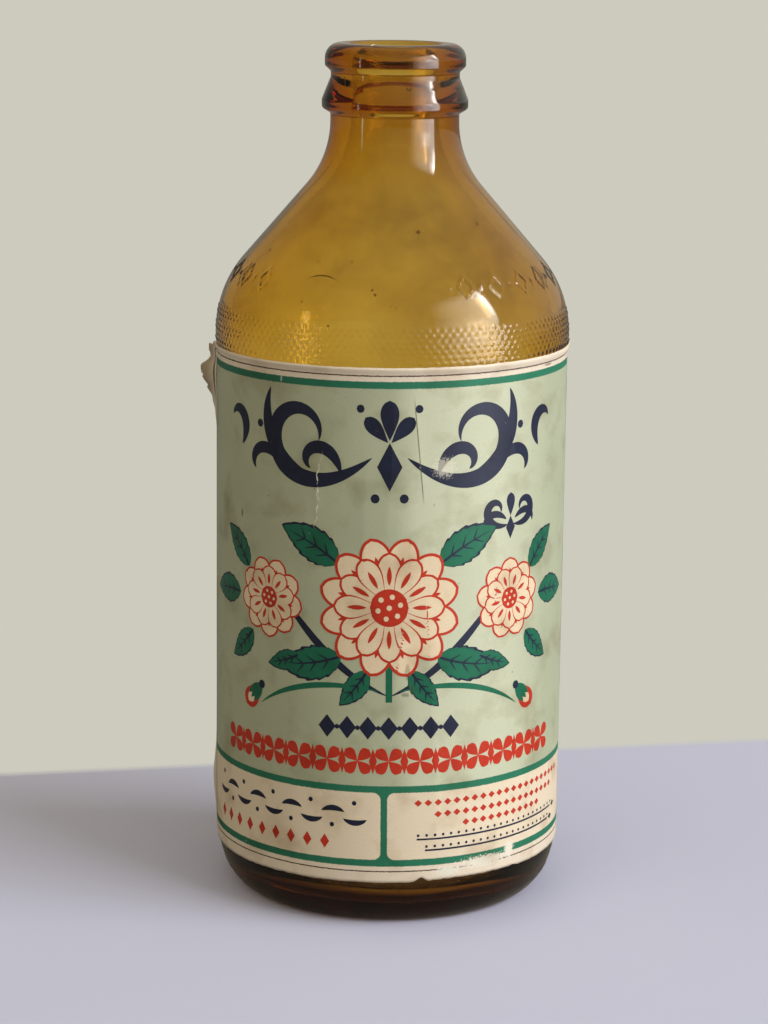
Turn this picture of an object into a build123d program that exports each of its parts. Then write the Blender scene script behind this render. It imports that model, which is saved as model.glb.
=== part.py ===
from build123d import *
import math
import os

# Stubby amber bottle with a crown finish and one wrap-round paper label.
# It stands on z = 0 with its axis on Z, and the middle of the label faces -Y.
# The glass is one revolved section, and the label is a thin sheet round its front.

# The whole bottle, in millimetres
bottle_height = 163.5
body_diameter = 67.5
wall_thickness = 2.8

# Crown finish and neck. The heights stack downwards from the lip, and the rings, the groove
# and the throat are measured from the locking ring, which fits the crown cork.
locking_ring_diameter = 26.6
locking_ring_projection = 1.15
bead_projection = 1.65
neck_wall = 3.9
lip_height = 4.2
lip_round = 2.8
mouth_edge_round = 1.3
locking_ring_edge_round = 0.5
groove_slope_height = 1.1
groove_height = 1.1
groove_round = 0.6
bead_slope_height = 4.1
bead_top_round = 1.5
bead_height = 1.6
bead_bottom_round = 0.7
bead_foot_height = 1.0
bead_foot_round = 0.5
neck_straight_height = 1.5

# Shoulder, a straight cone eased into the neck above and the body below
shoulder_angle = 40.8
neck_round = 18.2
shoulder_round = 22.0

# Contact band under the shoulder, and the shallow label panel that it stands proud of
contact_band_height = 0.8
panel_recess = 0.35
panel_step_round = 0.25

# Heel, foot and floor. The heel is a quarter ellipse from the side down to the foot ring.
heel_height = 12.4
heel_inset = 6.5
foot_ring_width = 2.2
push_up_height = 4.5
floor_thickness = 4.0
floor_edge_round = 8.0
floor_flat_width = 2.0

# Paper label, with its width measured round the curve
label_bottom_height = 9.4
label_top_margin = 0.6
label_width = 109.0
paper_thickness = 0.12
glue_thickness = 0.04

# Radii that follow from the driving sizes
body_radius = body_diameter / 2
panel_radius = body_radius - panel_recess
inner_radius = body_radius - wall_thickness
foot_radius = panel_radius - heel_inset
push_up_radius = foot_radius - foot_ring_width
floor_dome_radius = inner_radius - floor_edge_round - floor_flat_width
locking_ring_radius = locking_ring_diameter / 2
neck_radius = locking_ring_radius - locking_ring_projection
bead_radius = neck_radius + bead_projection
throat_radius = neck_radius - neck_wall

# Heights that follow, from the lip down. A knee is where two straight stretches would meet,
# and knee_share times the round there is how far from the knee the round starts.
cone_slope = math.tan(math.radians(shoulder_angle))
knee_share = math.tan(math.radians(shoulder_angle) / 2)
locking_ring_bottom = bottle_height - lip_height
groove_top = locking_ring_bottom - groove_slope_height
groove_bottom = groove_top - groove_height
bead_top = groove_bottom - bead_slope_height
bead_bottom = bead_top - bead_height
bead_foot = bead_bottom - bead_foot_height
neck_knee_height = bead_foot - neck_straight_height - neck_round * knee_share
shoulder_knee_height = neck_knee_height - (body_radius - neck_radius) / cone_slope
contact_band_top = shoulder_knee_height - shoulder_round * knee_share
panel_top = contact_band_top - contact_band_height - panel_recess
label_top = panel_top - label_top_margin

# The inside runs parallel to the outside, a wall away from it, up to the straight throat
inside_shoulder_round = shoulder_round - wall_thickness
inside_neck_round = neck_round + wall_thickness
inside_shoulder_knee = shoulder_knee_height - wall_thickness * knee_share
throat_knee_height = inside_shoulder_knee + (inner_radius - throat_radius) / cone_slope


def outside_corners():
    """Corners (radius, height, round) of the outside, from the label panel up to the lip."""
    return [
        (panel_radius, panel_top, panel_step_round),
        (body_radius, panel_top + panel_recess, 0),
        (body_radius, shoulder_knee_height, shoulder_round),
        (neck_radius, neck_knee_height, neck_round),
        (neck_radius, bead_foot, bead_foot_round),
        (bead_radius, bead_bottom, bead_bottom_round),
        (bead_radius, bead_top, bead_top_round),
        (neck_radius, groove_bottom, groove_round),
        (neck_radius, groove_top, groove_round),
        (locking_ring_radius, locking_ring_bottom, locking_ring_edge_round),
        (locking_ring_radius, bottle_height, lip_round),
    ]


def inside_corners():
    """Corners (radius, height, round) of the inside, from the mouth down to the floor's edge."""
    return [
        (throat_radius, bottle_height, mouth_edge_round),
        (throat_radius, throat_knee_height, inside_neck_round),
        (inner_radius, inside_shoulder_knee, inside_shoulder_round),
        (inner_radius, floor_thickness, floor_edge_round),
    ]


def dome(edge_radius, edge_height, rise):
    """Arc that starts level on the axis, rise above its edge, and falls to the edge."""
    radius = (edge_radius**2 + rise**2) / (2 * rise)
    half_angle = math.degrees(math.asin(edge_radius / radius))
    centre = (0, edge_height + rise - radius)
    return CenterArc(centre, radius, start_angle=90, arc_size=-half_angle)


def make_glass_bottle():
    """One piece of blown glass: its half section turned about the axis."""
    corners = outside_corners() + inside_corners()
    wall_start = (panel_radius, heel_height)
    wall_end = (floor_dome_radius, floor_thickness)
    points = [(radius, height) for radius, height, _ in corners]
    rounds = [corner[2] for corner in corners]
    walls = FilletPolyline(wall_start, *points, wall_end, radius=rounds)

    push_up = dome(push_up_radius, 0, push_up_height)
    foot = Line((push_up_radius, 0), (foot_radius, 0))
    heel_centre = (foot_radius, heel_height)
    heel = EllipticalCenterArc(heel_centre, heel_inset, heel_height, start_angle=270, arc_size=90)
    floor = dome(floor_dome_radius, floor_thickness, push_up_height)
    axis_side = Line((0, push_up_height), (0, floor_thickness + push_up_height))

    section = make_face(Plane.XZ * (push_up + foot + heel + walls + floor + axis_side))
    return revolve(section, axis=Axis.Z)


def make_paper_label():
    """One sheet of paper round the front of the label panel, centred on -Y."""
    inside = panel_radius + glue_thickness
    outside = inside + paper_thickness
    wrap_angle = math.degrees(label_width / outside)
    label_height = label_top - label_bottom_height
    edge = Rectangle(paper_thickness, label_height, align=(Align.MIN, Align.MIN))
    placed_edge = Plane.XZ * Pos(inside, label_bottom_height) * edge
    sheet = revolve(placed_edge, axis=Axis.Z, revolution_arc=wrap_angle)
    return Rot(Z=-90 - wrap_angle / 2) * sheet


def print_interfaces():
    """Print where the straight stretches lie that a crown cork, stopper or shelf fits on."""
    edge_turn = math.pi / 2 - math.atan2(groove_slope_height, locking_ring_projection)
    ring_low = locking_ring_bottom + locking_ring_edge_round * math.tan(edge_turn / 2)
    print(f"locking ring: radius {locking_ring_radius:.3f}, z {ring_low:.3f} to", end=" ")
    print(f"{bottle_height - lip_round:.3f}")
    throat_low = throat_knee_height + inside_neck_round * knee_share
    print(f"straight throat: radius {throat_radius:.3f}, z {throat_low:.3f} to", end=" ")
    print(f"{bottle_height - mouth_edge_round:.3f}")
    flat_start = throat_radius + mouth_edge_round
    print(f"flat of the lip: radius {flat_start:.3f} to {locking_ring_radius - lip_round:.3f}")
    print(f"foot ring: radius {push_up_radius:.3f} to {foot_radius:.3f}")
    print(f"label: z {label_bottom_height:.3f} to {label_top:.3f}")


parts = {
    "glass_bottle": make_glass_bottle(),
    "paper_label": make_paper_label(),
}

os.makedirs("parts", exist_ok=True)
for name, shape in parts.items():
    shape.label = name
    export_step(shape, f"parts/{name}.step")
    size = shape.bounding_box().size
    print(f"{name}: {shape.volume / 1000:.2f} cm3, {size.X:.2f} x {size.Y:.2f} x {size.Z:.2f} mm")
print_interfaces()
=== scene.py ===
import math
import random

import bmesh
import bpy
from mathutils import Matrix, Vector, noise


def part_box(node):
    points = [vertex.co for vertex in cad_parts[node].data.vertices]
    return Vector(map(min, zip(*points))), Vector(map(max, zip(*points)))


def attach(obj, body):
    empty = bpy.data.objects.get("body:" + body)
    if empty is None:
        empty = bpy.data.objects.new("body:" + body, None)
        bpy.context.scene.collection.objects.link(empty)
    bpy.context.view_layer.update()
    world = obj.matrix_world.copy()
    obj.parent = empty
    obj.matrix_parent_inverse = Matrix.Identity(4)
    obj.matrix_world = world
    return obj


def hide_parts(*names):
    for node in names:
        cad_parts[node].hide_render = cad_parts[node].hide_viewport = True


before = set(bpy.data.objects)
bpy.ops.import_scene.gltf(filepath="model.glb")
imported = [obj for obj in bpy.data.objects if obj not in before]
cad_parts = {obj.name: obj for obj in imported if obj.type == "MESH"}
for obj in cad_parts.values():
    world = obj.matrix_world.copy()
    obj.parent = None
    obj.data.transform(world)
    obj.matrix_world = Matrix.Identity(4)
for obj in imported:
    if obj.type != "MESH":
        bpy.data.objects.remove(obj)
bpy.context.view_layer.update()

# The bottle: one piece of amber glass, blown in a two-part mould, with a finish for a crown cork.
# Its half section is drawn as a thin outline and turned about the axis, the body in finer steps
# than the neck and the bore, and the stipple, border and seams are moved out of its surface.
millimetre = 0.001
glass_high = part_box("glass_bottle")[1]
bottle_height = glass_high.z / millimetre
body_radius = glass_high.x / millimetre
wall_thickness = 2.8
inner_radius = body_radius - wall_thickness
panel_radius = body_radius - 0.35
throat_radius = 8.25
neck_radius = 12.15
bead_radius = 13.8
locking_ring_radius = 13.3
foot_radius = 26.9
push_up_radius = 24.7
push_up_height = 4.5
heel_height = 12.4
floor_thickness = 4.0
floor_dome_radius = 20.95
shoulder_knee = 117.11
neck_knee = 142.13
shoulder_round = 22.0
neck_round = 18.2
inner_shoulder_knee = 116.07
inner_neck_knee = 142.37
locking_ring_bottom = 159.3
groove_top = 158.2
groove_bottom = 157.1
bead_top = 153.0
bead_bottom = 151.4
bead_foot = 150.4
joint_height = 127.5
ledge_low = 105.85
ledge_high = 106.55

dots_per_ring = 144
fine_row = 0.75
coarse_row = 8.0
neck_row = 1.2
inner_row = 2.2


def run_to(mesh, tip, radius, height, row):
    """Extrude the outline's last vertex straight to a new place, in equal rows."""
    start, end = tip.co.copy(), Vector((radius, 0, height))
    rows = max(1, round((end - start).length / row))
    for step in range(1, rows + 1):
        tip = bmesh.ops.extrude_vert_indiv(mesh, verts=[tip])["verts"][0]
        tip.co = start.lerp(end, step / rows)
    return tip


def turn_about(mesh, tip, radius, height, turn, row):
    """Spin the outline's last vertex about a centre, clockwise for a positive turn."""
    reach = (tip.co - Vector((radius, 0, height))).length
    steps = max(4, round(abs(turn) * reach / row))
    arc = bmesh.ops.spin(mesh, geom=[tip], cent=(radius, 0, height), axis=(0, 1, 0), angle=turn,
                         steps=steps)
    return next(part for part in arc["geom_last"] if isinstance(part, bmesh.types.BMVert))


def dome_turn(edge_radius, rise):
    """Radius of a dome, and the turn from its middle to its edge."""
    radius = (edge_radius**2 + rise**2) / (2 * rise)
    return radius, math.asin(edge_radius / radius)


def trace(mesh, tip, corners, end):
    """Draw the outline through corners (radius, height, round, row) and towards an end."""
    targets = [Vector(corner[:2]) for corner in corners[1:]] + [Vector(end)]
    for (radius, height, rounding, row), target in zip(corners, targets):
        corner = Vector((radius, height))
        incoming = (corner - tip.co.xz).normalized()
        outgoing = (target - corner).normalized()
        turn = incoming.angle_signed(outgoing)
        start = corner - incoming * rounding * math.tan(abs(turn) / 2)
        tip = run_to(mesh, tip, *start, row)
        side = math.copysign(rounding, turn)
        centre = (start.x + incoming.y * side, start.y - incoming.x * side)
        tip = turn_about(mesh, tip, *centre, turn, min(row, inner_row))
    return tip


def turn_round(outline, steps):
    """Spin an outline a full turn about the bottle's axis."""
    bmesh.ops.spin(outline, geom=outline.verts[:] + outline.edges[:], cent=(0, 0, 0),
                   axis=(0, 0, 1), angle=2 * math.pi, steps=steps, use_merge=True)
    bmesh.ops.remove_doubles(outline, verts=outline.verts, dist=0.001)


share = (joint_height - shoulder_knee) / (neck_knee - shoulder_knee)
joint = (body_radius + (neck_radius - body_radius) * share, joint_height)

body = bmesh.new()
tip = body.verts.new((0, 0, push_up_height))
dome_radius, half_turn = dome_turn(push_up_radius, push_up_height)
tip = turn_about(body, tip, 0, push_up_height - dome_radius, half_turn, 2.5)
foot_edge = tip
tip = run_to(body, tip, foot_radius, 0, 0.8)
heel_start = len(body.verts)
heel_inset = panel_radius - foot_radius
tip = turn_about(body, tip, foot_radius, heel_inset, -math.pi / 2, fine_row * 0.7)
bmesh.ops.scale(body, vec=(1, 1, heel_height / heel_inset), verts=body.verts[:][heel_start:])
body_corners = [
    (panel_radius, ledge_low, 0.6, coarse_row),
    (body_radius, ledge_high, 0.6, fine_row),
    (body_radius, shoulder_knee, shoulder_round, fine_row),
]
tip = trace(body, tip, body_corners, joint)
run_to(body, tip, *joint, fine_row)
bmesh.ops.bevel(body, geom=[foot_edge], offset=0.6, segments=4, profile=0.5, affect="VERTICES",
                material=-1)
turn_round(body, 2 * dots_per_ring)

neck = bmesh.new()
tip = neck.verts.new((joint[0], 0, joint[1]))
finish_corners = [
    (neck_radius, neck_knee, neck_round, neck_row),
    (neck_radius, bead_foot, 0.5, 0.7),
    (bead_radius, bead_bottom, 0.7, 0.25),
    (bead_radius, bead_top, 1.5, 0.3),
    (neck_radius, groove_bottom, 0.6, 0.35),
    (neck_radius, groove_top, 0.6, 0.3),
    (locking_ring_radius, locking_ring_bottom, 0.5, 0.3),
    (locking_ring_radius, bottle_height, 2.8, 0.4),
    (throat_radius, bottle_height, 1.3, 0.4),
    (throat_radius, inner_neck_knee, neck_round + wall_thickness, inner_row),
    (inner_radius, inner_shoulder_knee, shoulder_round - wall_thickness, inner_row),
    (inner_radius, floor_thickness, 8.0, 5.0),
]
tip = trace(neck, tip, finish_corners, (floor_dome_radius, floor_thickness))
tip = run_to(neck, tip, floor_dome_radius, floor_thickness, 1.0)
dome_radius, half_turn = dome_turn(floor_dome_radius, push_up_height)
dome_centre = floor_thickness + push_up_height - dome_radius
turn_about(neck, tip, 0, dome_centre, -half_turn, 2.5)
turn_round(neck, dots_per_ring)
bmesh.ops.subdivide_edges(neck, edges=[e for e in neck.edges if e.is_boundary], cuts=1)

# The neck's open rim now has a vertex for each of the body's, so that the two close up.
half = bpy.data.meshes.new("neck")
neck.to_mesh(half)
neck.free()
bottle_mesh = body
bottle_mesh.from_mesh(half)
bpy.data.meshes.remove(half)
rims = [v for v in bottle_mesh.verts if abs(v.co.z - joint_height) < 0.01 and v.is_boundary]
bmesh.ops.remove_doubles(bottle_mesh, verts=rims, dist=0.05)
bmesh.ops.recalc_face_normals(bottle_mesh, faces=bottle_mesh.faces)
bottle_mesh.normal_update()


def is_outside(vertex):
    """Whether a point lies on the bottle's outer skin, above its foot."""
    return vertex.co.z > 1 and vertex.normal.xy.dot(vertex.co.xy) > 0


def bearing_of(vertex):
    """Angle in degrees round the axis from the front, to the right."""
    return math.degrees(math.atan2(vertex.co.x, -vertex.co.y))


def refine(mesh, cuts, within):
    """Subdivide the outer faces whose points all lie within a stretch; give their points."""
    faces = [f for f in mesh.faces if all(is_outside(v) and within(v) for v in f.verts)]
    points = {v for f in faces for v in f.verts}
    edges = list(dict.fromkeys(e for f in faces for e in f.edges))
    finer = bmesh.ops.subdivide_edges(mesh, edges=edges, cuts=cuts, use_grid_fill=True)
    points.update(part for part in finer["geom"] if isinstance(part, bmesh.types.BMVert))
    mesh.normal_update()
    return [v for v in points if v.is_valid]


def off_axis(reach, bearing, height):
    """A place at a reach from the axis; the bearing is in radians, to the right of the front."""
    return Vector((reach * math.sin(bearing), -reach * math.cos(bearing), height))


def ease(share):
    """Smooth step from 0 to 1."""
    share = min(1.0, max(0.0, share))
    return share * share * (3 - 2 * share)


def raise_stipple(mesh, low, high, cuts):
    """Raise staggered round dots in a band, in rings along the skin, each a little different."""
    dot_pitch = 360 / dots_per_ring
    for vertex in refine(mesh, cuts, lambda v: low < v.co.z < high):
        along_skin = vertex.co.z - shoulder_foot
        if along_skin > 0:
            along_skin = shoulder_round * math.asin(along_skin / shoulder_round)
        ring = round(along_skin / dot_row)
        along = bearing_of(vertex) / dot_pitch - 0.5 * (ring % 2)
        number = round(along)
        aside = math.radians((along - number) * dot_pitch) * vertex.co.xy.length
        above = along_skin - ring * dot_row
        share = 1 - math.hypot(aside, above) / dot_radius
        height = dot_relief * (1 + 0.4 * noise.noise(Vector((number, ring, 0)) * 1.7))
        vertex.co += vertex.normal * height * ease(share)


def raise_border(mesh):
    """Raise hollow lozenges, with a pearl after each, on the shoulder at left and right."""
    def within(vertex):
        return (abs(vertex.co.z - border_height) < border_half_height + 0.5
                and any(first < bearing_of(vertex) < last for first, last in border_spans))

    for vertex in refine(mesh, 2, within):
        step, aside = divmod(bearing_of(vertex) + border_pitch / 4, border_pitch / 2)
        aside = abs(math.radians(aside - border_pitch / 4)) * vertex.co.xy.length
        above = abs(vertex.co.z - border_height)
        if step % 2:
            share = 1 - math.hypot(aside, above) / pearl_radius
        else:
            away = aside / lozenge_half_width + above / border_half_height
            share = 1 - abs(away - lozenge_line) / lozenge_line_half
        vertex.co += vertex.normal * border_relief * ease(share)


border_height = 121.1
border_half_height = 2.3
border_pitch = 13.0
border_spans = ((-86.0, -49.0), (19.0, 86.0))
lozenge_half_width = 1.9
lozenge_line = 0.8
lozenge_line_half = 0.28
pearl_radius = 0.8
border_relief = 0.17

# The dots keep to the mesh: their rows lie four refined rows apart, counted from the foot of the
# shoulder's curve, and each ring holds one dot to every six refined columns.
shoulder_foot = 108.926
dot_row = 0.9948
dot_radius = 0.52
dot_relief = 0.16
shoulder_stipple = (106.7, 114.3)
heel_stipple = (2.6, 9.3)

seam_relief = 0.03
seam_half_width = 0.15
seam_top = 157
parting_height = 155.4
parting_relief = 0.05

for vertex in bottle_mesh.verts:
    if is_outside(vertex):
        if abs(vertex.co.z - parting_height) < 0.12:
            around = vertex.co.xy.normalized()
            vertex.co.z += 0.3 * noise.noise(Vector((*around, 0)) * 2.5)
            vertex.co += vertex.normal * parting_relief
    elif floor_thickness - 1 < vertex.co.z < neck_knee:
        vertex.co += vertex.normal * 0.3 * noise.noise(vertex.co / 17)
raise_stipple(bottle_mesh, *shoulder_stipple, 2)
raise_stipple(bottle_mesh, *heel_stipple, 1)
raise_border(bottle_mesh)
for side in (-1, 1):
    everything = bottle_mesh.verts[:] + bottle_mesh.edges[:] + bottle_mesh.faces[:]
    bmesh.ops.bisect_plane(bottle_mesh, geom=everything, dist=0.0001, plane_no=(0, 1, 0),
                           plane_co=(0, side * seam_half_width, 0))
bottle_mesh.normal_update()
for vertex in bottle_mesh.verts:
    if is_outside(vertex) and abs(vertex.co.y) < 0.01 and vertex.co.z < seam_top:
        vertex.co += vertex.normal * seam_relief

# Seeds: small round bubbles of air left in the glass, by bearing, height, reach and radius.
randoms = random.Random(7)
seeds = [(12.3, 155.6, 11.7, 0.45), (16.1, 133.3, 19.2, 0.15), (-32.0, 118.0, 31.2, 0.2),
         (34.0, 136.5, 16.6, 0.12), (-9.0, 139.4, 14.2, 0.15)]
seeds += [(randoms.uniform(0, 360), randoms.uniform(15, 104), panel_radius - randoms.uniform(1, 2),
           randoms.uniform(0.12, 0.3)) for _ in range(10)]
for bearing, height, reach, radius in seeds:
    seed = bmesh.ops.create_icosphere(bottle_mesh, subdivisions=2, radius=radius)
    bmesh.ops.translate(bottle_mesh, verts=seed["verts"],
                        vec=off_axis(reach, math.radians(bearing), height))
    seed_faces = {f for v in seed["verts"] for f in v.link_faces}
    bmesh.ops.reverse_faces(bottle_mesh, faces=list(seed_faces))


def add_object(name, data):
    """Put a new object in the scene."""
    made = bpy.data.objects.new(name, data)
    bpy.context.scene.collection.objects.link(made)
    return made


def add_mesh(name, mesh, material):
    """Put a finished mesh in the scene as an object of one material."""
    data = bpy.data.meshes.new(name)
    mesh.to_mesh(data)
    mesh.free()
    data.materials.append(material)
    return add_object(name, data)


def make_piece(name, mesh, material, smooth=True):
    """Turn a mesh in millimetres into a piece in metres that rides with the bottle."""
    bmesh.ops.scale(mesh, vec=(millimetre,) * 3, verts=mesh.verts)
    for face in mesh.faces:
        face.smooth = smooth
    piece = add_mesh(name, mesh, material)
    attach(piece, "root")
    return piece


def paint(red, green, blue):
    """A colour as it is seen, 0 to 255, as the linear values that a shader takes."""
    shares = [value / 255 for value in (red, green, blue)]
    linear = [s / 12.92 if s < 0.04045 else ((s + 0.055) / 1.055) ** 2.4 for s in shares]
    return (*linear, 1.0)


def new_material(name):
    """A material with an empty node tree."""
    material = bpy.data.materials.new(name)
    material.use_nodes = True
    material.node_tree.nodes.clear()
    return material, material.node_tree


def node(tree, kind, inputs, **settings):
    """Add a shader node; an input is given a value, another node's output or a node."""
    made = tree.nodes.new("ShaderNode" + kind)
    for name, value in settings.items():
        setattr(made, name, value)
    for key, value in inputs.items():
        if isinstance(value, bpy.types.Node):
            value = value.outputs[0]
        if isinstance(value, bpy.types.NodeSocket):
            tree.links.new(value, made.inputs[key])
        else:
            made.inputs[key].default_value = value
    return made


def next_node(kind, inputs, **settings):
    """Add a shader node to the tree that its inputs come from."""
    tree = next(v.id_data for v in inputs.values() if isinstance(v, bpy.types.NodeSocket))
    return node(tree, kind, inputs, **settings)


def colour_mix(share, first, second, blend="MIX"):
    """One colour over another, by a share from 0 to 1."""
    return next_node("Mix", {0: share, 6: first, 7: second}, data_type="RGBA",
                     blend_type=blend).outputs[2]


def sums(operation, first, second=0.0):
    """One step of arithmetic on two numbers."""
    return next_node("Math", {0: first, 1: second}, operation=operation).outputs[0]


def times(first, second):
    return sums("MULTIPLY", first, second)


def plus(first, second):
    return sums("ADD", first, second)


def vectors(operation, first, second=(0, 0, 0), result="Vector"):
    """One step of arithmetic on two vectors."""
    inputs = {0: first, 1: second}
    return next_node("VectorMath", inputs, operation=operation).outputs[result]


def axes_of(place):
    """A place's X, Y and Z."""
    return next_node("SeparateXYZ", {0: place}).outputs


def mottle(place, scale, detail=2.0, roughness=0.5, distortion=0.0):
    """Soft cloudy noise, from 0 to 1 about a half."""
    settings = {"Vector": place, "Scale": scale, "Detail": detail, "Roughness": roughness,
                "Distortion": distortion}
    return next_node("TexNoise", settings).outputs["Fac"]


def ramp(value, low, high, first=0.0, last=1.0):
    """Carry a value from one range into another, held at the ends."""
    return next_node("MapRange", {0: value, 1: low, 2: high, 3: first, 4: last}).outputs[0]


amber_colour = (0.8945, 0.7273, 0.0, 1)
amber_density = 550.0
# Brown of the film: residue, and painted shade on the heel and towards the rim.
residue_and_shade_colour = (0.5, 0.4, 0.31, 1)
scratch_colour = (0.06, 0.04, 0.02, 1)
speck_colour = (0.16, 0.1, 0.05, 1)
grain_height = 0.00004

# The scratch: its middle across and up, how fast it falls to its ends, and its half width.
scratch_across = -0.0128
scratch_up = 0.1228
scratch_fall = 90.0
scratch_half_width = 0.00011

# Specks of dirt: place on the shoulder and radius, in millimetres.
specks = [
    (4.44, -21.76, 130.47, 0.5), (15.41, -15.0, 131.29, 0.32), (-22.99, -12.76, 125.75, 0.36),
    (-23.54, -12.77, 125.18, 0.2), (-11.72, -30.93, 114.3, 0.25), (-3.83, -30.01, 120.83, 0.25),
    (-3.27, -30.58, 120.0, 0.3), (-4.6, -29.85, 121.4, 0.16), (-0.36, -31.78, 118.02, 0.16),
    (0.5, -31.9, 117.8, 0.13), (-13.79, -23.21, 124.94, 0.2), (-7.54, -25.58, 125.31, 0.18),
]


def scratch_mask(place):
    """A short curved scratch on the shoulder, at the front left."""
    axes = axes_of(place)
    aside = plus(axes["X"], -scratch_across)
    fall = times(times(aside, aside), scratch_fall)
    off = sums("ABSOLUTE", plus(plus(axes["Z"], fall), -scratch_up))
    reach = ramp(sums("ABSOLUTE", aside), 0.0012, 0.0029, scratch_half_width, 0.0)
    inside = sums("LESS_THAN", off, reach)
    return times(inside, sums("LESS_THAN", axes["Y"], -0.0235))


def speck_mask(place):
    """The specks of dirt, each a small ragged spot."""
    shake = mottle(place, 3000.0)
    mask = 0.0
    for *centre, radius in specks:
        radius *= millimetre
        away = vectors("DISTANCE", place, Vector(centre) * millimetre, "Value")
        size = ramp(shake, 0.3, 0.7, 0.5 * radius, 1.3 * radius)
        mask = sums("MAXIMUM", mask, sums("LESS_THAN", away, size))
    return mask


def within_band(height, low, high, soft):
    """1 between two heights, easing off outside them."""
    return times(ramp(height, low - soft, low), ramp(height, high, high + soft, 1.0, 0.0))


def amber_glass():
    """Glass that takes out blue and green, under a dirt film, darker towards the mouth, and painted
    shade at heel and rim.
    """
    material, tree = new_material("amber_glass")
    place = node(tree, "TexCoord", {}).outputs["Object"]
    height = axes_of(place)["Z"]
    rim = node(tree, "LayerWeight", {"Blend": 0.4}).outputs["Facing"]
    # edge: browner towards the silhouette, partly the film's longer slant path and partly painted
    # edge shade.
    edge = ramp(rim, 0.45, 0.95, 0.0, 0.3)
    mouth = ramp(height, 0.112, 0.153, 0.03, 0.38)
    finish_edge = times(ramp(height, 0.142, 0.152, 0.0, 0.5), ramp(rim, 0.25, 0.75))
    # foot: painted shade, darkening the heel.
    foot = ramp(height, 0.013, 0.004, 0.0, 0.68)
    smudge = ramp(mottle(place, 60.0, 6.0, 0.6), 0.42, 0.75, -0.08, 0.4)
    smear = ramp(mottle(place, 130.0, 5.0, distortion=0.6), 0.5, 0.7, 0.0, 0.3)
    smear = times(smear, within_band(height, 0.121, 0.132, 0.006))
    film_and_shade = 0.0
    for layer in (edge, mouth, finish_edge, foot, smudge, smear):
        film_and_shade = plus(film_and_shade, layer)
    film_and_shade = sums("MAXIMUM", 0.0, sums("MINIMUM", film_and_shade, 1.0))
    colour = colour_mix(film_and_shade, (1, 1, 1, 1), residue_and_shade_colour)
    colour = colour_mix(scratch_mask(place), colour, scratch_colour)
    colour = colour_mix(speck_mask(place), colour, speck_colour)
    grime = ramp(mottle(place, 90.0, 4.0), 0.5, 0.8, 0.02, 0.12)
    worn = plus(ramp(height, 0.149, 0.156, 0.0, 0.03), ramp(height, 0.01, 0.005, 0.0, 0.03))
    banded = sums("MAXIMUM", within_band(height, 0.107, 0.113, 0.001),
                  within_band(height, 0.0028, 0.0088, 0.001))
    reach = vectors("LENGTH", vectors("MULTIPLY", place, (1, 1, 0)), result="Value")
    outer = sums("GREATER_THAN", reach, (inner_radius + 1.2) * millimetre)
    pebbled = times(times(banded, outer), mottle(place, 1100.0))
    bump = node(tree, "Bump", {"Height": pebbled, "Strength": 1.0, "Distance": grain_height})
    shader = node(tree, "BsdfPrincipled", {
        "Base Color": colour, "Roughness": plus(grime, worn), "IOR": 1.5,
        "Transmission Weight": 1.0, "Normal": bump, "Sheen Weight": 0.14,
        "Sheen Roughness": 0.4, "Sheen Tint": (1.0, 0.93, 0.82, 1.0)})
    tint = node(tree, "VolumeAbsorption", {"Color": amber_colour, "Density": amber_density})
    node(tree, "OutputMaterial", {"Surface": shader, "Volume": tint})
    return material


bottle = make_piece("bottle", bottle_mesh, amber_glass())
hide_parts("glass_bottle")

# The label: one sheet of thin paper, glued round the front of the bottle a little askew. Its
# left edge has come loose and torn, and old creases, chips and stains show its age. Points of
# the sheet are given in millimetres across from its middle and up from the bottle's foot.
label_width = 109.0
paper_thickness = 0.12
glue_thickness = 0.04
paper_step = 0.5
skew = math.radians(0.44)
label_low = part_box("paper_label")[0].z / millimetre
label_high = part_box("paper_label")[1].z / millimetre
label_middle = (label_low + label_high) / 2
label_half_width = label_width / 2
paper_radius = panel_radius + glue_thickness + paper_thickness

# Each crease: where its foot lies across, from how low to how high, its width, height and lean,
# and the mark along its crack, if any: dark for a line of painted shade, white for ink rubbed off.
creases = [
    (6.3, 81.5, 102.0, 0.9, 0.16, -0.093, "dark"),
    (-0.7, 73.0, 104.5, 3.0, 0.24, 0.06, ""),
    (9.6, 13.0, 66.0, 3.4, 0.28, -0.053, ""),
    (-13.7, 76.5, 91.5, 0.7, 0.16, 0.02, "white"),
    (-5.0, 64.0, 94.0, 2.2, 0.12, 0.03, ""),
    (4.6, 60.0, 80.0, 1.9, 0.1, -0.05, ""),
    (0.5, 42.0, 60.0, 1.2, 0.2, 0.12, ""),
    (20.5, 52.0, 72.0, 0.8, 0.07, 0.06, ""),
    (-31.0, 40.0, 100.0, 1.6, 0.14, 0.01, ""),
    (-19.0, 14.0, 58.0, 2.6, 0.08, 0.03, ""),
    (33.0, 26.0, 70.0, 2.0, 0.09, -0.02, ""),
    (-22.0, 78.0, 104.0, 1.0, 0.1, 0.03, ""),
    (26.0, 70.0, 100.0, 0.8, 0.07, -0.03, ""),
]

# How far the torn ear stands off at the sheet's left edge, from low to high.
ear_outline = [(90.0, 0.0), (93.0, 0.3), (95.6, 0.85), (98.0, 1.9), (99.4, 2.75), (100.8, 3.05),
               (102.1, 2.8), (103.2, 1.7), (104.2, 1.4), (106.0, 1.5), (108.0, 1.2)]


def hump(distance, width):
    """A round bump, 1 in its middle."""
    return math.exp(-((distance / width) ** 2))


def crease_lift(across, up):
    """How far the creases and the paper's own waviness raise it from the glass."""
    lift = 0.05 * (0.5 + 0.5 * noise.noise(Vector((across / 9, up / 16, 3))))
    for place, low, high, width, height, lean, _ in creases:
        line = place + lean * (up - low) + 0.3 * noise.noise(Vector((up / 5, place, 0)))
        ends = ease((up - low) / 6) * ease((high - up) / 6)
        lift += height * ends * math.exp(-abs(across - line) / width)
    return lift


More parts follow.
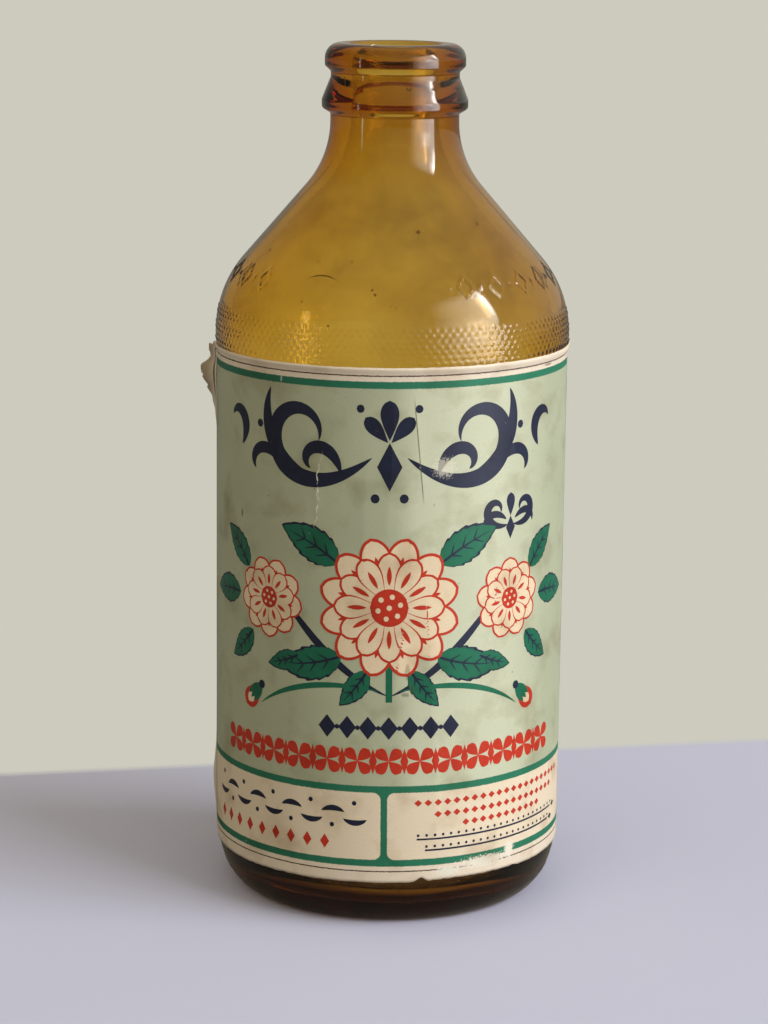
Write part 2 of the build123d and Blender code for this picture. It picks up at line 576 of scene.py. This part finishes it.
def loose_edge_lift(across, up):
    """How far the unglued margins stand off: a torn ear at upper left, and slight flares."""
    left = max(0.0, -50.3 - across) / 4.2
    ear = 0.25 + 0.6 * hump(up - 20, 5)
    for (low, lift), (high, higher) in zip(ear_outline, ear_outline[1:]):
        if low <= up < high:
            ear += lift + (higher - lift) * ease((up - low) / (high - low))
    ear += 0.25 * noise.noise(Vector((across / 1.4, up, 5))) * hump(up - 102, 4)
    right = max(0.0, across - 50.3) / 4.2
    flare = 0.15 * hump(up - 107, 4) + 0.12
    foot = max(0.0, 12.0 - up) / 2.6
    return ear * left**1.5 + flare * right**1.5 + 0.12 * foot**2


def lay_on_glass(across, up, lift):
    """Place of a point of the sheet, lift above the paper's own upper face."""
    lift += crease_lift(across, up) + loose_edge_lift(across, up)
    turned = across * math.cos(skew) - (up - label_middle) * math.sin(skew)
    height = label_middle + across * math.sin(skew) + (up - label_middle) * math.cos(skew)
    below = max(0.0, heel_height - height) / heel_height
    glass_radius = foot_radius + (panel_radius - foot_radius) * math.sqrt(1 - below**2)
    ledge = ease((height - ledge_low) / (ledge_high - ledge_low))
    glass_radius += (body_radius - panel_radius) * ledge
    reach = glass_radius + glue_thickness + paper_thickness + lift
    return off_axis(reach, turned / paper_radius, height)


def tear_edges(across, up):
    """Draw the sheet's edge in where it is torn or chipped, and roughen it slightly."""
    rough = noise.noise(Vector((across / 1.1, up / 1.1, 9)))
    left = ease((-48.5 - across) / 6)
    torn = 0.5 * hump(up - 103.9, 0.6) + 0.3 * hump(up - 98.5, 1.2) + 0.7 * hump(up - 60, 1.5)
    fray = noise.noise(Vector((across / 0.5, up / 0.45, 2)))
    ragged = 0.3 * rough + 0.28 * fray if up > 95 else 0.1 * rough
    corner = ease((-51.0 - across) / 2.5) * ease((up - 104.5) / 2)
    across += left * (torn + ragged)
    foot = ease((12.0 - up) / 2.6)
    scuffed = ease((across - 7) / 2) * ease((28 - across) / 2)
    chips = 0.9 * hump(across - 6.2, 0.9) + 0.1 * hump(across + 21, 0.6)
    up += foot * (chips + 0.1 * rough + scuffed * (0.25 + 0.5 * fray))
    up -= 0.08 * rough * ease((up - 105) / 2) + corner * (0.9 + 0.3 * fray)
    return across, up


def wrap(mesh, lift_of):
    """Bend a flat mesh round the bottle and keep its flat places in an attribute."""
    sheet_layer = mesh.verts.layers.float_vector.new("sheet")
    for vertex in mesh.verts:
        across, up, _ = vertex.co
        vertex[sheet_layer] = Vector((across, up, 0))
        vertex.co = lay_on_glass(across, up, lift_of(vertex))
    bmesh.ops.remove_doubles(mesh, verts=mesh.verts, dist=0.0005)
    mesh.normal_update()


def add_thickness(piece, thickness, back_material=False):
    """Thicken a sheet inwards, so that it is a closed solid."""
    solid = piece.modifiers.new("thickness", "SOLIDIFY")
    solid.thickness = thickness * millimetre
    solid.offset = -1
    if back_material:
        solid.material_offset = solid.material_offset_rim = 1


def sheet_place(tree):
    """Where a point lies on the flat sheet, across and up in millimetres."""
    return node(tree, "Attribute", {}, attribute_name="sheet").outputs["Vector"]


def box_mask(place, left, right, low, high, corner):
    """1 inside a box with round corners on the sheet, and 0 outside it."""
    centre = ((left + right) / 2, (low + high) / 2, 0)
    half = ((right - left) / 2 - corner, (high - low) / 2 - corner, 1)
    steps = (("SUBTRACT", centre), ("ABSOLUTE", (0, 0, 0)), ("SUBTRACT", half),
             ("MAXIMUM", (0, 0, 0)))
    for operation, value in steps:
        place = vectors(operation, place, value)
    length = vectors("LENGTH", place, result="Value")
    return ramp(length, corner - ink_bleed, corner + ink_bleed, 1.0, 0.0)


ink_bleed = 0.05
paper_cream = paint(235, 222, 206)
panel_cream = paint(235, 221, 199)
frame_green = paint(38, 118, 92)
field_sage = paint(190, 197, 172)
# Lighter sage for a band of painted light on the field.
field_sage_lit = paint(211, 217, 194)
field_sage_dark = paint(171, 179, 154)
hairline_brown = paint(70, 48, 34)
stain_brown = paint(168, 140, 98)
rubbed_white = paint(238, 234, 222)
# Brown for the torn ear: its soiled pulp, with painted shade.
ear_soil_and_shade_brown = paint(160, 144, 118)
# Dark brown for dirt marks, and for painted shade in the dark crease crack and along the ear's
# fold.
dirt_and_shade_brown = paint(78, 68, 46)

# Marks on the sheet: place across and up, half width, half height and strength.
scuffs = [(-21.4, 104.0, 0.22, 0.55, 0.5), (10.2, 88.6, 2.2, 1.8, 0.5), (11.4, 11.2, 3.0, 1.0, 1.0),
          (19.0, 12.1, 5.5, 1.1, 1.0), (25.3, 13.1, 1.3, 1.7, 1.0)]
dirt = [(-32.5, 77.3, 0.35, 0.8, 0.7), (-33.9, 72.3, 0.9, 2.2, 0.35), (3.4, 50.3, 0.5, 1.6, 0.4),
        (4.2, 46.9, 0.35, 1.2, 0.45), (3.0, 45.9, 0.8, 0.45, 0.5), (35.5, 105.2, 1.5, 0.25, 0.6)]


def marks_mask(place, marks, edge):
    """Where any of a list of ragged oval marks lies on the sheet."""
    mask = 0.0
    for across, up, half_width, half_height, strength in marks:
        off = vectors("SUBTRACT", place, (across, up, 0))
        off = vectors("MULTIPLY", off, (1 / half_width, 1 / half_height, 0))
        away = plus(vectors("LENGTH", off, result="Value"), edge)
        mask = sums("MAXIMUM", mask, ramp(away, 0.7, 1.1, strength, 0.0))
    return mask


def wear_and_shade_masks(place):
    """Where the sheet is rubbed bare, where it is stained, and where it is dirty or painted with
    shade in a crack or fold.
    """
    rubbed = ramp(mottle(place, 0.55, 8.0, 0.7), 0.68, 0.71)
    edge = ramp(mottle(place, 2.2, 5.0, 0.7), 0.3, 0.7, -0.6, 0.6)
    rubbed = sums("MAXIMUM", rubbed, marks_mask(place, scuffs, edge))
    dark = marks_mask(place, dirt, times(edge, 0.5))
    wander = times(mottle(place, 0.9, 6.0), 0.8)
    upwards = vectors("MULTIPLY", place, (0, 0.16, 0))
    winding = ramp(mottle(upwards, 1.0, 4.0), 0.3, 0.7, -1.3, 1.3)
    axes = axes_of(place)
    for line, low, high, _, _, lean, crack in creases:
        if not crack:
            continue
        middle = plus(times(axes["Y"], lean), line - lean * low)
        away = sums("SUBTRACT", axes["X"], middle)
        span = times(ramp(axes["Y"], low, low + 3), ramp(axes["Y"], high - 3, high, 1.0, 0.0))
        # A dark crack: a thin line of painted shade along the crease.
        if crack == "dark":
            thin = ramp(sums("ABSOLUTE", away), 0.04, 0.17, 0.75, 0.0)
            dark = sums("MAXIMUM", dark, times(thin, span))
        else:
            away = sums("ABSOLUTE", plus(away, winding))
            thin = ramp(plus(away, wander), 0.44, 0.54, 0.85, 0.0)
            rubbed = sums("MAXIMUM", rubbed, times(thin, span))
    # Painted shadow: a dark line along the fold where the torn ear lifts off.
    ear_fold_shadow = ramp(sums("ABSOLUTE", plus(axes["X"], 51.5)), 0.08, 0.3, 0.8, 0.0)
    ear_fold_shadow = times(ear_fold_shadow, within_band(axes["Y"], 97.0, 105.0, 1.5))
    dark = sums("MAXIMUM", dark, ear_fold_shadow)
    stained = ramp(mottle(place, 0.11, 5.0), 0.5, 0.75, 0.0, 0.5)
    foxed = ramp(mottle(place, 0.8), 0.73, 0.78, 0.0, 0.5)
    return rubbed, sums("MAXIMUM", stained, foxed), dark


def finish_sheet(tree, place, colour, wear_and_shade, roughness):
    """The last layers of every printed surface: rubbing, stains, dirt and painted shade, fibres,
    the shader.
    """
    rubbed, stained, dark = wear_and_shade
    colour = colour_mix(rubbed, colour, rubbed_white)
    colour = colour_mix(stained, colour, stain_brown, "MULTIPLY")
    colour = colour_mix(dark, colour, dirt_and_shade_brown)
    grain = mottle(place, 3.5, 6.0)
    shade = ramp(grain, 0.3, 0.7, 0.93, 1.04)
    colour = node(tree, "VectorMath", {0: colour, "Scale": shade}, operation="SCALE").outputs[0]
    bump = node(tree, "Bump", {"Height": grain, "Strength": 0.25, "Distance": grain_height})
    shader = node(tree, "BsdfPrincipled", {
        "Base Color": colour, "Roughness": roughness, "Normal": bump,
        "Specular IOR Level": 0.35})
    node(tree, "OutputMaterial", {"Surface": shader})


# Printed boxes on the sheet: left, right, low and high edge, and the round of the corners.
hairline_outside = (-51.9, 51.9, 11.5, 105.75, 0.5)
hairline_inside = (-51.67, 51.67, 11.73, 105.52, 0.5)
frame_box = (-50.7, 50.7, 12.6, 104.6, 0.3)
field_box = (-49.4, 49.4, 28.3, 103.3, 0.3)
panel_boxes = [(-49.4, -1.5, 13.9, 27.0, 1.4), (-0.25, 49.4, 13.9, 27.0, 1.4)]
print_shake = 0.22


def printed_paper():
    """The sheet's front: cream paper, a green frame, a sage field and two cream panels."""
    material, tree = new_material("printed_paper")
    place = sheet_place(tree)
    axes = axes_of(place)
    shake = node(tree, "TexNoise", {"Vector": place, "Scale": 2.5, "Detail": 3.0})
    shift = vectors("SUBTRACT", shake.outputs["Color"], (0.5, 0.5, 0.5))
    inked = vectors("ADD", place, vectors("MULTIPLY", shift, (print_shake,) * 3))
    line = sums("SUBTRACT", box_mask(inked, *hairline_outside), box_mask(inked, *hairline_inside))
    colour = colour_mix(line, paper_cream, hairline_brown)
    colour = colour_mix(box_mask(inked, *frame_box), colour, frame_green)
    sage = colour_mix(mottle(place, 0.09, 4.0), field_sage, field_sage_dark)
    # Painted light: the sage field is lighter in a band right of the middle.
    painted_light_band = times(ramp(axes["X"], 1.0, 5.0, 0.0, 0.75), ramp(axes["X"], 22.0, 36.0, 1.0, 0.0))
    sage = colour_mix(painted_light_band, sage, field_sage_lit)
    colour = colour_mix(box_mask(inked, *field_box), colour, sage)
    for panel in panel_boxes:
        colour = colour_mix(box_mask(inked, *panel), colour, panel_cream)
    # The torn ear at the left edge is browner: partly its soiled pulp, partly painted shade.
    ear_soil_and_shade = times(ramp(axes["X"], -53.6, -50.9, 0.85, 0.0), ramp(axes["Y"], 93.0, 98.0))
    colour = colour_mix(ear_soil_and_shade, colour, ear_soil_and_shade_brown)
    finish_sheet(tree, place, colour, wear_and_shade_masks(place), 0.5)
    return material


def glued_paper():
    """The sheet's back, brown where the glue was brushed on."""
    material, tree = new_material("glued_paper")
    place = sheet_place(tree)
    streaks = mottle(vectors("MULTIPLY", place, (0.04, 0.5, 1)), 1.0, 5.0)
    colour = colour_mix(streaks, paint(222, 208, 176), paint(186, 164, 126))
    finish_sheet(tree, place, colour, (0.0, 0.0, 0.0), 0.7)
    return material


sheet_mesh = bmesh.new()
bmesh.ops.create_grid(sheet_mesh, x_segments=round(label_width / paper_step),
                      y_segments=round((label_high - label_low) / paper_step), size=0.5)
bmesh.ops.scale(sheet_mesh, vec=(label_width, label_high - label_low, 1), verts=sheet_mesh.verts)
bmesh.ops.translate(sheet_mesh, vec=(0, label_middle, 0), verts=sheet_mesh.verts)
for vertex in sheet_mesh.verts:
    vertex.co.xy = tear_edges(vertex.co.x, vertex.co.y)
wrap(sheet_mesh, lambda vertex: 0.0)
sheet = make_piece("label_sheet", sheet_mesh, printed_paper())
sheet.data.materials.append(glued_paper())
add_thickness(sheet, paper_thickness, back_material=True)
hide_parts("paper_label")

# The print: ornament in navy, red, green and cream ink, a scroll above a spray of flowers,
# two bands of repeats and small rules in the panels. Every motif is made of single strokes,
# strips that follow a steadily bending path, pressed into the paper one layer over another.
ink_step = 0.45
first_layer = 0.02
layer_gap = 0.007
ink_depth = 0.03
stroke_shapes = {
    "pen": lambda share: math.sin(math.pi * share) ** 0.75,
    "brush": lambda share: min(1, (share * 9) ** 0.5) * (1 - share) ** 0.55,
    "leaf": lambda share: (math.sin(math.pi * share**0.8) ** 0.85
                           * (1 + 0.13 * ((share * 7) % 1 - 0.5))),
    "petal": lambda share: math.sin(math.pi * share**1.7) ** 0.55,
    "rule": lambda share: 1.0,
    "lozenge": lambda share: 1 - abs(2 * share - 1),
    "disc": lambda share: math.sqrt(1 - (2 * share - 1) ** 2),
}


def direction(heading):
    """The way that a heading points on the sheet, in degrees from across towards up."""
    return Vector((math.cos(math.radians(heading)), math.sin(math.radians(heading))))


def path_of(across, up, heading, length, first_bend, last_bend, rows):
    """Points and directions along a path that starts at a heading and bends steadily."""
    places, fine = [], 6
    point, pace = Vector((across, up)), length / (rows * fine)
    for step in range(rows * fine + 1):
        share = step / (rows * fine)
        turn = heading + first_bend * share + (last_bend - first_bend) * share**2 / 2
        ahead = direction(turn)
        if step % fine == 0:
            places.append((point.copy(), ahead, turn))
        point += ahead * pace
    return places


def stroke(mesh, shape, across, up, heading, length, breadth, first_bend=0, last_bend=0, layer=0):
    """Add one stroke of ink: a strip of faces, shaped and carried along its path."""
    rows = max(8, 2 * round(length / ink_step / 2))
    lanes = max(2, round(breadth / ink_step))
    places = path_of(across, up, heading, length, first_bend, last_bend, rows)
    strip = bmesh.ops.create_grid(mesh, x_segments=rows, y_segments=lanes, size=0.5)
    for vertex in strip["verts"]:
        share = min(1.0, max(0.0, vertex.co.x + 0.5))
        point, ahead, _ = places[round(share * rows)]
        aside = Vector((-ahead.y, ahead.x)) * vertex.co.y * breadth
        vertex.co.xy = point + aside * max(0.0, stroke_shapes[shape](share))
        vertex[layer_of[mesh]] = layer


def pair(mesh, shape, across, up, heading, length, breadth, first_bend=0, last_bend=0, layer=0,
         centre=0):
    """Add a stroke and its mirror image about an upright line."""
    for side, turn in ((1, heading), (-1, 180 - heading)):
        stroke(mesh, shape, centre + side * across, up, turn, length, breadth, side * first_bend,
               side * last_bend, layer)


layer_of = {}


def new_print():
    """An empty flat mesh for one motif."""
    mesh = bmesh.new()
    layer_of[mesh] = mesh.verts.layers.int.new("layer")
    return mesh


def ink_material(name, colour, darker):
    """Offset printing ink, slightly uneven, with the wear and painted shade of the paper under it.
    """
    material, tree = new_material(name)
    place = sheet_place(tree)
    tone = colour_mix(mottle(place, 0.7, 6.0), colour, darker)
    finish_sheet(tree, place, tone, wear_and_shade_masks(place), 0.42)
    return material


inks = {
    "navy": ink_material("navy_ink", paint(35, 42, 69), paint(25, 30, 52)),
    "red": ink_material("red_ink", paint(206, 62, 40), paint(186, 46, 30)),
    "green": ink_material("green_ink", paint(30, 116, 88), paint(24, 98, 76)),
    "cream": ink_material("cream_ink", paint(240, 224, 196), paint(234, 212, 182)),
}


def press(name, mesh, ink):
    """Lay a printed motif on the sheet and make it a piece."""
    layer = layer_of.pop(mesh)
    wrap(mesh, lambda vertex: first_layer + vertex[layer] * layer_gap)
    piece = make_piece(name, mesh, inks[ink], smooth=False)
    add_thickness(piece, ink_depth)
    return piece


scroll = new_print()
pair(scroll, "pen", 3.2, 90.6, -38, 42, 3.4, 50, 610)
pair(scroll, "pen", 13, 86.0, 5, 23, 2.9, 90, 130)
pair(scroll, "pen", 21, 87.6, 60, 12, 2.2, -60, -330)
pair(scroll, "pen", 9.0, 87.4, 75, 13, 2.4, -40, -420)
pair(scroll, "pen", 32.2, 90.5, 125, 11, 2.4, -60, -340)
pair(scroll, "disc", 1.8, 83.0, 0, 1.7, 1.7)
pair(scroll, "disc", 4.6, 99.6, 0, 1.5, 1.5)
pair(scroll, "disc", 26.0, 95.2, 0, 1.5, 1.5)
pair(scroll, "petal", 0.3, 93.4, 48, 6.2, 2.8)
stroke(scroll, "lozenge", 0, 84.4, 90, 9, 4.6)
stroke(scroll, "petal", 0, 93.8, 90, 7.4, 3.4)
press("navy_scroll", scroll, "navy")

sprig = new_print()
sprig_centre = 24.5
pair(sprig, "pen", 0.6, 76.6, -10, 12, 1.7, 60, 560, centre=sprig_centre)
pair(sprig, "pen", 1.0, 77.6, 40, 7, 1.4, -40, -260, centre=sprig_centre)
stroke(sprig, "lozenge", sprig_centre, 73.8, 90, 4.4, 2.2)
stroke(sprig, "petal", sprig_centre, 78.2, 90, 4.4, 2.0)
press("navy_sprig", sprig, "navy")

spray = {ink: new_print() for ink in inks}


def leaf(across, up, heading, length, bend=0):
    """A toothed leaf, outlined and veined in navy."""
    breadth = length * 0.46
    stroke(spray["navy"], "leaf", across, up, heading, length * 1.04, breadth * 1.12, bend, bend)
    stroke(spray["green"], "leaf", across, up, heading, length, breadth, bend, bend, 1)
    stroke(spray["navy"], "brush", across, up, heading, length * 0.9, 0.55, bend, bend, 2)
    for point, _, turn in path_of(across, up, heading, length, bend, bend, 10)[2:8:2]:
        for side in (-42, 42):
            stroke(spray["navy"], "brush", *point, turn + side, breadth * 0.42, 0.4, layer=2)


def petal(across, up, heading, length, breadth, layer):
    """A cream petal, edged and creased in red."""
    stroke(spray["red"], "petal", across, up, heading, length * 1.03, breadth * 1.16, layer=layer)
    stroke(spray["cream"], "petal", across, up, heading, length * 0.98, breadth, layer=layer + 1)


def blossom(across, up, radius, petals, turn):
    """A double flower: two rings of petals round a spotted red heart."""
    centre = Vector((across, up))
    for ring, (reach, shift) in enumerate(((1.0, 0.0), (0.78, 0.5))):
        breadth = 2 * math.pi * radius * reach / petals * 0.74
        for count in range(petals):
            heading = turn + (count + shift) * 360 / petals
            ahead = direction(heading)
            start = centre + ahead * radius * 0.12
            length = radius * (reach - 0.12)
            layer = 3 + 5 * ring + 2 * (count % 2)
            petal(*start, heading, length, breadth, layer)
            stroke(spray["red"], "pen", *(start + ahead * length * 0.3), heading, length * 0.42,
                   breadth * 0.22, layer=7 + 5 * ring)
    heart = radius * 0.27
    stroke(spray["red"], "disc", across - heart, up, 0, 2 * heart, 2 * heart, layer=13)
    for count in range(7):
        out = heart * 0.6 if count < 6 else 0
        spot = centre + direction(count * 60 + turn) * out
        stroke(spray["cream"], "disc", spot.x - heart * 0.14, spot.y, 0, heart * 0.28,
               heart * 0.28, layer=14)


def bud(across, up, heading):
    """A half open flower in its green cup."""
    stroke(spray["red"], "petal", across, up, heading, 6.6, 4.0, layer=3)
    stroke(spray["cream"], "petal", across, up, heading, 5.6, 2.2, layer=4)
    for lean in (-26, 0, 26):
        stroke(spray["green"], "pen", across, up, heading + lean, 4.4, 1.4, -lean, -lean, 5)
    stroke(spray["navy"], "disc", across - 0.8, up, 0, 1.6, 1.6, layer=6)


# Leaves of the right half, as place, heading, length and bend, and the three flowers.
leaves = [(9.5, 70.5, 38, 13, -20), (9.0, 53.0, -22, 13, 20), (4.0, 50.5, -60, 8.5, 15),
          (30.0, 67.5, 52, 10, -20), (33.0, 62.0, 2, 11, -15), (29.0, 55.5, -52, 9, 20),
          (17.5, 52.5, -30, 7.5, 20)]
blossoms = [(24.5, 7.6, 9, 10), (-24.5, 7.6, 9, -10), (0, 13.2, 12, 15)]
blossom_height = 62.5

pair(spray["navy"], "pen", 0, 45.6, 22, 30, 1.5, 60, -10)
pair(spray["green"], "pen", 2.0, 46.6, 12, 26, 1.1, -40, -60, 1)
stroke(spray["green"], "rule", 0, 44.5, 90, 12, 1.2, layer=1)
for side in (1, -1):
    for across, up, heading, length, bend in leaves:
        leaf(side * across, up, heading if side > 0 else 180 - heading, length, side * bend)
    bud(side * 26.5, 45.3, -90 + 45 * side)
for across, radius, petals, turn in blossoms:
    blossom(across, blossom_height, radius, petals, turn)
for ink, mesh in spray.items():
    press(ink + "_spray", mesh, ink)

navy_band = new_print()
navy_pitch = 3.9
for count in range(-3, 4):
    stroke(navy_band, "lozenge", count * navy_pitch, 37.3, 90, 4.4, 3.4)
    if count < 3:
        stroke(navy_band, "disc", (count + 0.5) * navy_pitch - 0.45, 39.5, 0, 0.9, 0.9)
press("navy_lozenge_band", navy_band, "navy")

red_band = new_print()
red_pitch = 5.85
for count in range(-6, 7):
    for heading in (45, 135, 225, 315):
        stroke(red_band, "petal", count * red_pitch, 33.1, heading, 3.2, 2.2)
    if count < 6:
        stroke(red_band, "lozenge", (count + 0.5) * red_pitch, 30.6, 90, 5.0, 1.5, layer=1)
press("red_quatrefoil_band", red_band, "red")

panel_navy, panel_red = new_print(), new_print()
wave_pitch = 4.3
lozenge_pitch = 3.6
row_pitch = 1.9
pearl_pitch = 1.6
for count in range(9):
    side = 1 if count % 2 else -1
    across = -43 + count * wave_pitch
    stroke(panel_navy, "pen", across, 22.3 + 0.6 * side, 35 * side, 4.9, 1.1, -70 * side,
           -70 * side)
    stroke(panel_navy, "disc", across + 1.7, 22.6 - 2.2 * side, 0, 0.9, 0.9)
    stroke(panel_red, "lozenge", -41 + count * lozenge_pitch, 15.6, 90, 2.8, 1.8)
panel_middle = 24.5
for up, half in ((24.9, 19.0), (22.6, 15.2), (20.4, 9.5)):
    for count in range(round(2 * half / row_pitch) + 1):
        across = panel_middle - half + count * row_pitch - 0.7
        stroke(panel_red, "lozenge", across, up, 0, 1.5, 1.3)
for up, half in ((17.8, 19.2), (15.6, 17.6)):
    stroke(panel_navy, "rule", panel_middle - half, up, 0, 2 * half - 3, 0.35)
    stroke(panel_navy, "lozenge", panel_middle + half - 2.4, up, 0, 2.0, 1.2)
    for count in range(round((2 * half - 3) / pearl_pitch) + 1):
        across = panel_middle - half + count * pearl_pitch
        stroke(panel_navy, "disc", across, up + 0.75, 0, 0.55, 0.55)
press("navy_panel_rules", panel_navy, "navy")
press("red_panel_lozenges", panel_red, "red")

# The torn edge: paper fibres that stand out of the tear at the sheet's upper left, curled with
# the ear that they belong to. They are loose ends of the sheet itself, of bare soiled pulp.
fibre_count = 70
fibre_thickness = 0.04
fibres = new_print()
for count in range(fibre_count):
    up = randoms.uniform(95.5, 106.2)
    across = tear_edges(-label_half_width, up)[0] + randoms.uniform(0.15, 0.5)
    stroke(fibres, "brush", across, up, 180 + randoms.uniform(-70, 70), randoms.uniform(0.25, 0.6),
           randoms.uniform(0.07, 0.15), randoms.uniform(-60, 60), randoms.uniform(-90, 90))
del layer_of[fibres]
wrap(fibres, lambda vertex: 0.15 * noise.noise(vertex.co * 1.7) - 0.02)
fibre_piece = make_piece("torn_fibres", fibres, glued_paper())
add_thickness(fibre_piece, fibre_thickness)

# The studio: a pale table top that turns into a warm wall colour behind the bottle, a soft
# window high on the right with a bright strip at its edge, and a faint narrow light at left.
wall_colour = paint(205, 203, 190)
table_colour = paint(203, 208, 236)
# Painted shade: seen in reflections, the table takes this darker colour.
mirrored_table_shade = paint(118, 116, 116)
fill_colour = (1.0, 0.88, 0.66, 1)
fill_strength = 0.35


def stage_plane(name, size, material):
    """A flat square of the studio, made lying on the table top."""
    mesh = bmesh.new()
    bmesh.ops.create_grid(mesh, x_segments=1, y_segments=1, size=size)
    plane = add_mesh(name, mesh, material)
    return plane


def towards(bearing, height):
    """Direction out from the bottle, by its bearing from the front and its height in degrees."""
    height = math.radians(height)
    return off_axis(math.cos(height), math.radians(bearing), math.sin(height))


def table_and_wall():
    """A matt table top, and past a slanting line the even tone of a lit wall."""
    material, tree = new_material("table_and_wall")
    place = node(tree, "TexCoord", {}).outputs["Object"]
    turned = node(tree, "Mapping", {"Vector": place, "Rotation": (0, 0, -wall_turn)})
    away = axes_of(turned.outputs["Vector"])["Y"]
    line = wall_line * math.cos(wall_turn)
    behind = ramp(away, line - wall_line_blur, line + wall_line_blur)
    path = node(tree, "LightPath", {}).outputs
    # Painted shade: in reflections the table is darker and the wall glows less.
    colour = colour_mix(path["Is Reflection Ray"], table_colour, mirrored_table_shade)
    table = node(tree, "BsdfDiffuse", {"Color": colour})
    level = ramp(path["Is Reflection Ray"], 0.0, 1.0, 1.0, mirrored_wall_shade_level)
    wall = node(tree, "Emission", {"Color": wall_colour, "Strength": level})
    warm = node(tree, "Emission", {"Color": fill_colour, "Strength": fill_strength})
    wall = node(tree, "MixShader", {0: path["Is Diffuse Ray"], 1: wall, 2: warm})
    mixed = node(tree, "MixShader", {0: behind, 1: table, 2: wall})
    node(tree, "OutputMaterial", {"Surface": mixed})
    return material


wall_line = 0.0793
wall_line_blur = 0.002
wall_turn = math.radians(11.1)
# Painted shade: seen in reflections, the wall glows at this lower level.
mirrored_wall_shade_level = 0.3
stage_plane("floor", 8.0, table_and_wall())

world = bpy.data.worlds.new("room")
bpy.context.scene.world = world
world.use_nodes = True
tree = world.node_tree
tree.nodes.clear()
path = node(tree, "LightPath", {}).outputs
sky = node(tree, "TexCoord", {}).outputs["Generated"]
heading = axes_of(sky)
brightness = ramp(heading["X"], -0.8, 0.9, 0.14, 0.95)
brightness = ramp(path["Is Reflection Ray"], 0.0, 1.0, 1.0, brightness)
seen = node(tree, "Background", {"Color": wall_colour, "Strength": brightness})
overhead = ramp(heading["Z"], 0.0, 1.0, 0.06, 0.5)
for side, strength in ((towards(22, 20), 0.6), (towards(-90, 5), 0.4)):
    faced = vectors("DOT_PRODUCT", sky, side, "Value")
    faced = sums("POWER", sums("MAXIMUM", faced, 0.0), 2.0)
    overhead = plus(overhead, times(faced, strength))
fill = node(tree, "Background", {"Color": fill_colour, "Strength": overhead})
mixed = node(tree, "MixShader", {0: path["Is Diffuse Ray"], 1: seen, 2: fill})
node(tree, "OutputWorld", {"Surface": mixed})

window_side = towards(63, 24)
window_distance = 2.4
lamp = bpy.data.lights.new("window_light", "AREA")
lamp.shape = "RECTANGLE"
lamp.size, lamp.size_y = 1.92, 2.24
lamp.energy = 60
holder = add_object("window_light", lamp)
holder.location = Vector((0, 0, 0.1)) + window_side * window_distance
holder.rotation_mode = "QUATERNION"
holder.rotation_quaternion = window_side.to_track_quat("Z", "Y")
holder.visible_glossy = holder.visible_transmission = False


def add_pane(name, bearing, distance, width, low, high, strength_of):
    """An upright glowing pane near the bottle that shows in reflections alone."""
    material, tree = new_material(name)
    place = node(tree, "TexCoord", {}).outputs["Object"]
    axes = axes_of(place)
    path = node(tree, "LightPath", {}).outputs
    mirrored = sums("GREATER_THAN", path["Ray Depth"], plus(path["Transmission Depth"], 0.5))
    strength = times(mirrored, strength_of(axes["X"], axes["Z"]))
    glow = node(tree, "Emission", {"Color": (1.0, 0.98, 0.95, 1), "Strength": strength})
    clear = node(tree, "BsdfTransparent", {})
    both = node(tree, "AddShader", {0: clear, 1: glow})
    node(tree, "OutputMaterial", {"Surface": both})
    pane = stage_plane(name, 0.5, material)
    pane.data.transform(Matrix.Translation((0, 0, (low + high) / 2))
                        @ Matrix.Rotation(math.radians(90), 4, "X")
                        @ Matrix.Diagonal((width, high - low, 1, 1)))
    pane.matrix_world = (Matrix.Translation(towards(bearing, 0) * distance)
                         @ Matrix.Rotation(math.radians(bearing), 4, "Z"))
    pane.visible_camera = pane.visible_diffuse = pane.visible_shadow = False
    pane.visible_volume_scatter = False


def window_glow(across, height):
    """Brighter towards its right edge, where a strip of open sky shows in its upper half."""
    veil = times(ramp(across, -0.26, 0.08, 0.3, 5.0), ramp(height, 0.2, 0.36, 1.35, 1.0))
    strip = sums("POWER", ramp(across, 0.03, 0.135), 3.5)
    strip = times(strip, ramp(height, 0.3, 0.46, 5.0, 24.0))
    strip = times(strip, ramp(height, 0.27, 0.32))
    sill = times(ramp(across, -0.09, -0.03, 0.0, 4.0),
                 times(ramp(across, 0.02, 0.1, 1.0, 0.0), within_band(height, 0.19, 0.27, 0.04)))
    glow = plus(plus(veil, sill), strip)
    ends = times(ramp(across, 0.15, 0.168, 1.0, 0.0), ramp(height, 0.5, 0.62, 1.0, 0.0))
    return times(glow, ends)


def gap_glow(across, height):
    """A faint narrow light, brightest near the table."""
    return ramp(height, 0.1, 0.35, 3.2, 0.4)


add_pane("window_pane", 56, 0.5, 0.54, 0.01, 0.68, window_glow)
add_pane("left_pane", -59, 0.5, 0.026, 0.05, 0.36, gap_glow)

camera_place = (-0.0012, -0.5646, 0.1939)
camera_tilt = math.radians(77.95)
camera_roll = math.radians(0.65)
camera_data = bpy.data.cameras.new("camera")
camera_data.lens = 104.55
camera_data.sensor_width = 36
camera = add_object("camera", camera_data)
camera.matrix_world = (Matrix.Translation(camera_place) @ Matrix.Rotation(camera_tilt, 4, "X")
                       @ Matrix.Rotation(camera_roll, 4, "Z"))
bpy.context.scene.camera = camera
bpy.context.scene.view_settings.view_transform = "Standard"
